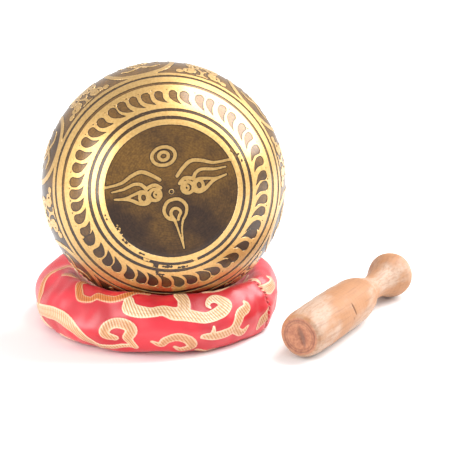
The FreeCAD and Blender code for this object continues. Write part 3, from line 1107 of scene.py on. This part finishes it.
def sewStitches(name, cover, material, places, kind):
    # a stitch lies on the cover at each (turn, angle) in degrees
    length = kind["length"]
    lean = math.radians(kind["lean"])
    tree = BVHTree.FromObject(cover, bpy.context.evaluated_depsgraph_get())
    points, runs, outs = [], [], []
    for turn, angle in places:
        radius = float(tubeOutline(np.array([angle]), 0)[0][0])
        turnStep = math.degrees(0.5 * length * math.cos(lean) / radius)
        angleStep = math.degrees(0.5 * length * math.sin(lean) / cushion["tube"])
        ends = []
        for side in (-1, 1):
            t, a = np.array([turn + side * turnStep]), np.array([angle - side * angleStep])
            core, way, _ = coverPoint(t, a, 0)
            ends.append(tree.ray_cast(Vector(core[0] * mm), Vector(way[0]), 0.04))
        (startPoint, startNormal, *_), (endPoint, endNormal, *_) = ends
        normal = (startNormal + endNormal).normalized()
        points.append(0.5 * (startPoint + endPoint) + normal * (0.1 * mm))
        runs.append((endPoint - startPoint).normalized())
        outs.append(normal)
    obj = newObject(name + "Points", points, [])
    vertexValue(obj, "run", runs, "FLOAT_VECTOR", "vector")
    vertexValue(obj, "out", outs, "FLOAT_VECTOR", "vector")
    group = stitchTree(material)
    modifier = obj.modifiers.new("stitches", "NODES")
    modifier.node_group = group
    inputs = {"stitchLength": length * mm}
    inputs.update({key: stitches[key] * mm for key in ("threadRadius", "arch")})
    for item in group.interface.items_tree:
        if item.in_out == "INPUT" and item.name in inputs:
            modifier[item.identifier] = inputs[item.name]
    made = flatten(obj, name)
    points = meshPoints(made.data)
    points[:, 2] = np.maximum(points[:, 2], cushion["aboveFloor"] * mm)
    made.data.vertices.foreach_set("co", points.ravel())
    made.data.shade_smooth()
    made.data.materials.clear()
    made.data.materials.append(material)
    print(f"{name}: {len(places)} stitches")
    return made


def threadMaterial():
    v = stitches
    material, tree, shader = newMaterial("redThread")
    fibre = noise(tree, objectPoint(tree), 2600, 3, 0.7)
    fillInputs(tree, shader, {
        "Base Color": mixColour(tree, fade(tree, fibre, 0.3, 0.7), v["dark"], v["red"]),
        "Roughness": 0.6,
        "Sheen Weight": 0.4,
        "Normal": bump(tree, fibre, 0.0001, 0.8),
    })
    return material


mallet = {
    "start": (71.0, -62.5, 12.1),  # mm from here on
    "turn": 31.2,  # degrees from +Y towards +X
    "face": 8.6,
    "edge": (2.4, 11.0),
    "body": [(6, 11.6), (14, 11.9), (24, 12), (33, 12), (39, 12), (47, 11.85), (57, 11.5),
             (64.5, 10.2), (71, 7.8), (79.5, 6.4), (89, 7.8), (97, 10.9), (103, 12), (110, 9.2),
             (112.9, 4.0), (113.5, 0.0)],
    "segments": 176,
    "faceRows": [0.5, 1, 1.6, 2.2, 2.8, 3.4, 4, 4.6, 5.2, 5.8, 6.3, 6.6, 6.9, 7.2, 7.5, 7.8, 8.1,
                 8.35, 8.6],
    "faceLines": [(8.1, 0.3), (6.9, 0.2)],  # radius, depth
    "dentPlace": (1.2, 0.4),
    "dentSize": (5.6, 1.7),
    "dentTurn": 112.0,
    "dentDepth": 0.8,
    "cracks": [(36.8, 21.0, 16.0, 1.0), (35.2, -1.0, 5.0, 0.45)],  # place, degrees, half, depth
    "crackDepth": 0.55,
}


def malletFrame():
    # start of the mallet and its directions: along, across and up
    turn = math.radians(mallet["turn"])
    along = Vector((math.sin(turn), math.cos(turn), 0))
    across = Vector((math.cos(turn), -math.sin(turn), 0))
    return Vector(mallet["start"]) * mm, along, across, Vector((0, 0, 1))


def makeMallet(material):
    v = mallet
    edgeLong, edgeRadius = v["edge"]
    edge = [(edgeLong * (1 - math.cos(t)), v["face"] + (edgeRadius - v["face"]) * math.sin(t))
            for t in np.linspace(0, math.pi / 2, 9)[1:]]
    body = spline([edge[-2], edge[-1]] + v["body"], 20)[20:]
    outline = np.array([(0.0, r) for r in v["faceRows"]] + edge + [tuple(p) for p in body[1:-1]])
    n, rows = v["segments"], len(outline)
    s, r = (np.repeat(column, n).reshape(-1, n) for column in outline.T)
    a = np.tile(np.arange(n) * 2 * math.pi / n, (rows, 1))
    onFace = s < 0.01
    ringDip = sum(deep * np.exp(-((r - at) / 0.3) ** 2) for at, deep in v["faceLines"]) * onFace
    c, d = math.cos(math.radians(v["dentTurn"])), math.sin(math.radians(v["dentTurn"]))
    dx, dy = r * np.cos(a) - v["dentPlace"][0], r * np.sin(a) - v["dentPlace"][1]
    dent = ((dx * c + dy * d) / v["dentSize"][0]) ** 2 + ((dy * c - dx * d) / v["dentSize"][1]) ** 2
    dentDip = v["dentDepth"] * np.clip(1 - dent, 0, 1) ** 0.7 * onFace
    s = s + ringDip + dentDip
    turned = (0.02 * np.sin(s * 2.4 + 0.6 * np.sin(a)) + 0.07 * np.sin(0.5 * s + 2 * a)
              + 0.06 * np.sin(3 * a + 0.2 * s))
    crack = 0
    for place, degrees, half, deep in v["cracks"]:
        bend = wrapped(a - math.radians(degrees))
        half = math.radians(half)
        wide = 0.42 * np.clip(1 - (bend / half) ** 2, 0.01, 1) ** 0.5
        near = np.exp(-(((s - place + 2.5 * bend - 3 * bend**2) / wide) ** 2))
        crack = crack + deep * near * (abs(bend) < half)
    r = r + np.where(s > edgeLong, turned - 0.08 - v["crackDepth"] * crack, 0)
    start, along, across, up = (np.array(w) for w in malletFrame())
    points = np.stack([s, r * np.cos(a), r * np.sin(a)], 2) @ np.array([along, across, up])
    ends = np.array([0 * along, v["body"][-1][0] * along])
    points = np.concatenate([points.reshape(-1, 3), ends]) * mm + start
    points[:, 2] = np.maximum(points[:, 2], 0.02 * mm)
    faces = []
    for j in range(n):
        k = (j + 1) % n
        faces.append((rows * n, j, k))
        faces.append((rows * n + 1, (rows - 1) * n + k, (rows - 1) * n + j))
        faces += [(i + j, i + n + j, i + n + k, i + k) for i in range(0, (rows - 1) * n, n)]
    obj = newObject("turnedMallet", points, faces, material)
    # cracks, the dent and the rings on the face are painted darker: painted shade in these recesses,
    # along with wear
    marks = np.append(1.4 * crack + 1.3 * dentDip + 2.4 * ringDip, [0, 0])
    vertexValue(obj, "recessShadeAndWear", np.clip(marks, 0, 1))
    endGrain = np.clip(1 - outline[:, 0] / 0.35, 0, 1)
    vertexValue(obj, "endGrain", np.append(endGrain.repeat(n), [1, 0]))
    print(f"mallet: {len(points)} points")
    return obj


wood = {
    "pale": (0.475, 0.328, 0.24, 1),
    "tan": (0.42, 0.20, 0.092, 1),
    "brown": (0.27, 0.125, 0.065, 1),
    "endPale": (0.46, 0.20, 0.108, 1),
    "endDark": (0.31, 0.117, 0.068, 1),
    # painted shade in the cracks, dent and face rings, along with wear
    "recessShadeAndWear": (0.12, 0.06, 0.05, 1),
    "roughness": 0.5,
}


def woodMaterial():
    v = wood
    material, tree, shader = newMaterial("turnedWood")
    _, along, _, _ = malletFrame()
    turn = (0, 0, -math.atan2(along.y, along.x))
    at = addNode(tree, "Mapping", {"Vector": objectPoint(tree), "Rotation": turn}).outputs[0]
    broad = noise(tree, at, 70, 3, 0.55, (0.5, 1, 1))
    grain = noise(tree, at, 700, 4, 0.65, (0.08, 1, 1))
    pores = noise(tree, at, 2400, 3, 0.6, (0.15, 1, 1))
    flecks = noise(tree, at, 1100, 2, 0.6, (0.3, 1, 1))
    side = mixColour(tree, fade(tree, broad, 0.40, 0.60), v["tan"], v["pale"])
    side = partMix(tree, fade(tree, grain, 0.45, 0.70), 0.5, side, v["brown"])
    side = partMix(tree, fade(tree, flecks, 0.5, 0.66), 0.45, side, v["tan"])
    blotches = fade(tree, noise(tree, at, 420, 4, 0.7), 0.35, 0.65)
    end = mixColour(tree, blotches, v["endDark"], v["endPale"])
    colour = mixColour(tree, attribute(tree, "endGrain"), side, end)
    fillInputs(tree, shader, {
        # painted shade and wear darken the cracks, the dent and the face rings
        "Base Color": partMix(tree, attribute(tree, "recessShadeAndWear"), 0.7, colour, v["recessShadeAndWear"]),
        "Roughness": v["roughness"],
        "Specular IOR Level": 0.35,
        "Normal": bump(tree, calculate(tree, "ADD", grain, pores), 0.00015, 0.5),
    })
    return material


makeStage()
print("stage: camera, light and floor made")
bowlPiece = makeBowl(bronzeMaterial())
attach(bowlPiece, "bowl")
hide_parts("bowl")

cushionPiece = makeCushion(brocadeMaterial())
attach(cushionPiece, "cushion")
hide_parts("cushion_cover", "cushion_filling")

thread = threadMaterial()
closing, inner = stitches["closing"], stitches["inner"]
closingPlaces = [
    (cushion["seamTurn"], float(a))
    for a in np.linspace(closing["start"], closing["end"], closing["count"])
]
innerPlaces = [(360.0 * i / inner["count"], cushion["innerSeam"]) for i in range(inner["count"])]
closingPiece = sewStitches("closingStitches", cushionPiece, thread, closingPlaces, closing)
innerPiece = sewStitches("innerStitches", cushionPiece, thread, innerPlaces, inner)
for piece, node in ((closingPiece, "closing_seam_thread"), (innerPiece, "inner_seam_thread")):
    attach(piece, "cushion")
    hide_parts(node)

malletPiece = makeMallet(woodMaterial())
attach(malletPiece, "mallet")
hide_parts("mallet")
